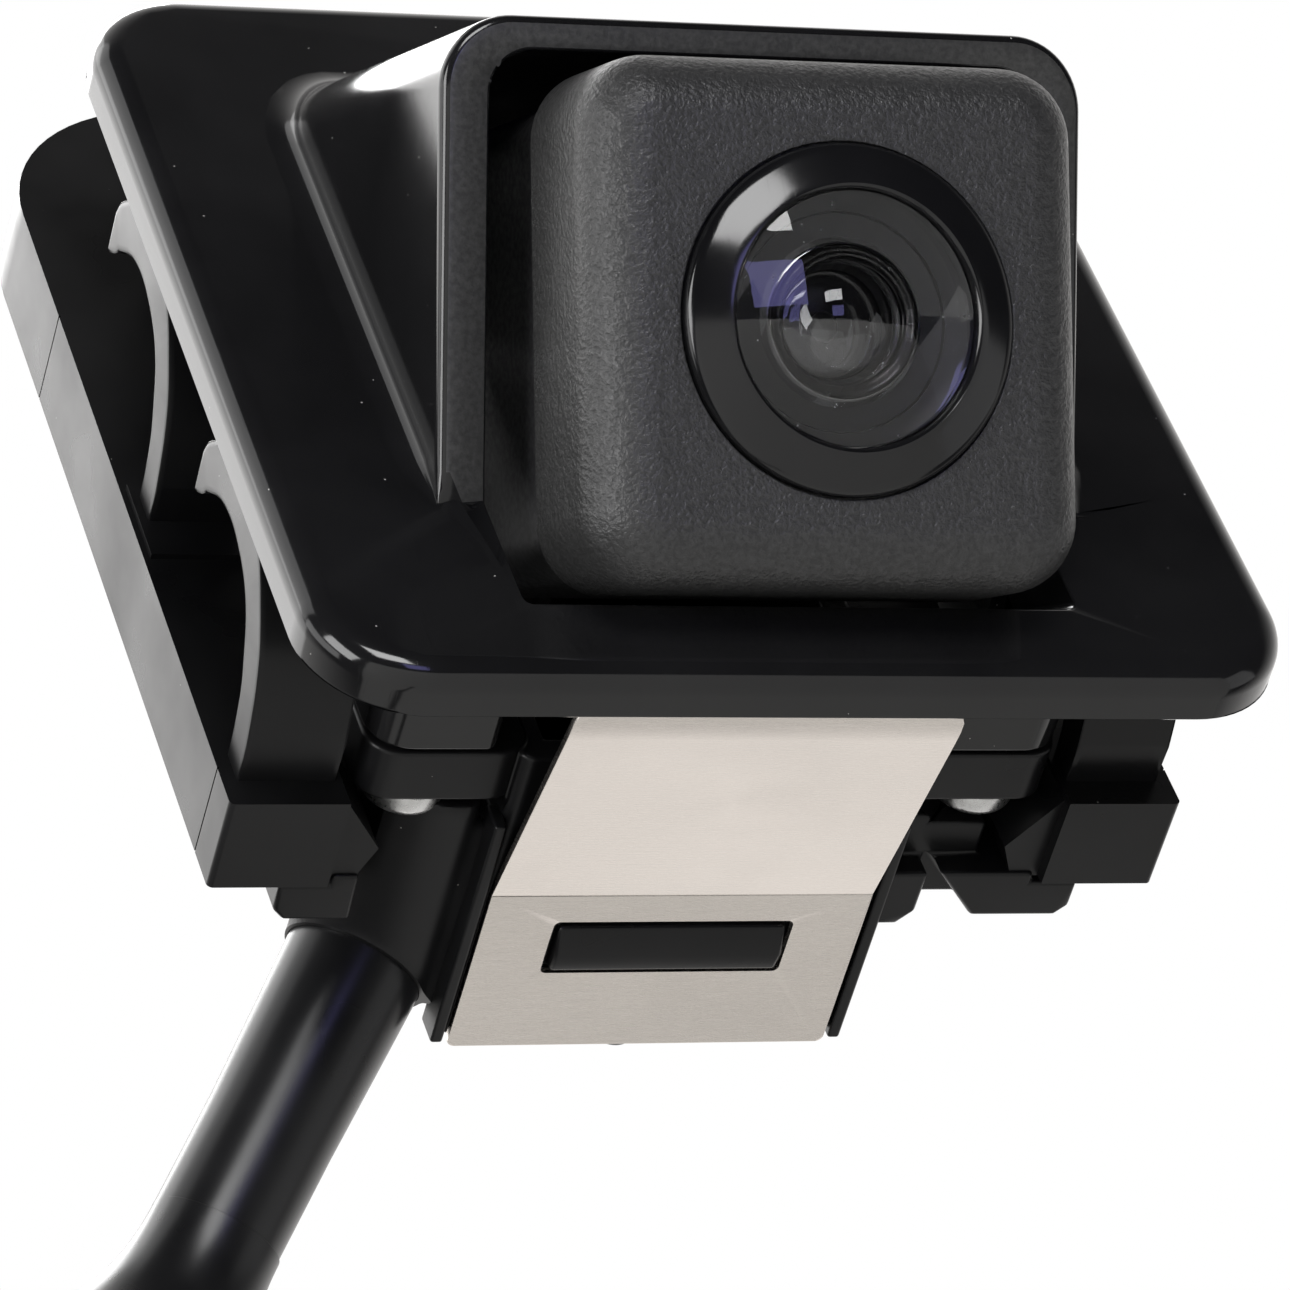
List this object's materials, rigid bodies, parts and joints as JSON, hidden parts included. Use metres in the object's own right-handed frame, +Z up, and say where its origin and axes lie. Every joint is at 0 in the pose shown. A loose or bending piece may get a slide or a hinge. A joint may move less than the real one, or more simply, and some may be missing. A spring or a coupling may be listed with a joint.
{
  "type": "flush mount backup camera",
  "caption": "Flush mount backup camera: angled square module in a hooded trim plate, with a sprung rear frame, a steel spring clip and a sleeved cable with a sealed connector.",
  "frame": {"origin": "centre of the trim plate's rear face, which lies on the vehicle's panel", "axes": "+X to the right across the plate, +Y backwards into the vehicle, +Z up the plate; the lens looks towards -Y and -Z"},
  "size_m": [0.0666, 0.0749, 0.278],
  "materials": {
    "plate_gloss": "high gloss moulded black, fine specks",
    "frame_plastic": "satin to semi gloss moulded black",
    "module_grain": "fine grain moulded black",
    "inner_plastic": "satin moulded black",
    "connector_plastic": "satin moulded black",
    "clip_steel": "bright rolled spring steel",
    "screw_zinc": "bright zinc plate",
    "seal_rubber": "matt rubber",
    "pad_foam": "closed cell foam",
    "lens_glass": "coated glass with a purple bloom",
    "lens_metal": "black anodised",
    "board_green": "solder mask",
    "sensor_package": "ceramic package",
    "pale_nylon": "natural nylon",
    "terminal_brass": "tinned brass",
    "cable_sleeve": "smooth black sleeve"
  },
  "bodies": {
    "camera_body": {"trim_plate": "plate_gloss", "lens_front_ring": "plate_gloss", "rear_frame": "frame_plastic", "camera_carrier": "frame_plastic", "camera_front_housing": "module_grain", "camera_rear_housing": "inner_plastic", "lens_holder": "inner_plastic", "connector_shell": "connector_plastic", "clip_base": "clip_steel", "carrier_screw_lower_left": "screw_zinc", "carrier_screw_lower_right": "screw_zinc", "carrier_screw_upper_left": "screw_zinc", "carrier_screw_upper_right": "screw_zinc", "frame_screw_left": "screw_zinc", "frame_screw_right": "screw_zinc", "housing_screw_1": "screw_zinc", "housing_screw_2": "screw_zinc", "housing_screw_3": "screw_zinc", "housing_screw_4": "screw_zinc", "board_screw_1": "screw_zinc", "board_screw_2": "screw_zinc", "housing_seal": "seal_rubber", "lens_seal_ring": "seal_rubber", "cable_grommet": "seal_rubber", "wire_seal": "seal_rubber", "module_pad": "pad_foam", "front_lens": "lens_glass", "second_lens": "lens_glass", "rear_lens": "lens_glass", "infrared_filter": "lens_glass", "lens_barrel": "lens_metal", "lens_spacer": "lens_metal", "aperture_stop": "lens_metal", "sensor_board": "board_green", "power_board": "board_green", "image_sensor": "sensor_package", "board_connector": "pale_nylon", "wire_header": "pale_nylon", "terminal_lock": "pale_nylon", "terminal_1": "terminal_brass", "terminal_2": "terminal_brass", "terminal_3": "terminal_brass", "terminal_4": "terminal_brass", "cable": "cable_sleeve", "inner_lead": "cable_sleeve"},
    "clip_leaf": {"clip_leaf": "clip_steel"},
    "connector_latch": {"connector_latch": "pale_nylon"}
  },
  "joints": [
    {"name": "clip_leaf_flex", "type": "hinge", "parent": "camera_body", "child": "clip_leaf", "pos_m": [0, 0.01675, -0.0178], "axis": [-1, 0, 0], "range_deg": [0, 10], "stiffness_Nm_per_rad": 0.12},
    {"name": "connector_latch_press", "type": "hinge", "parent": "camera_body", "child": "connector_latch", "pos_m": [-0.0346, 0.0504, -0.23], "axis": [1, 0, 0], "range_deg": [0, 8], "stiffness_Nm_per_rad": 0.05}
  ]
}
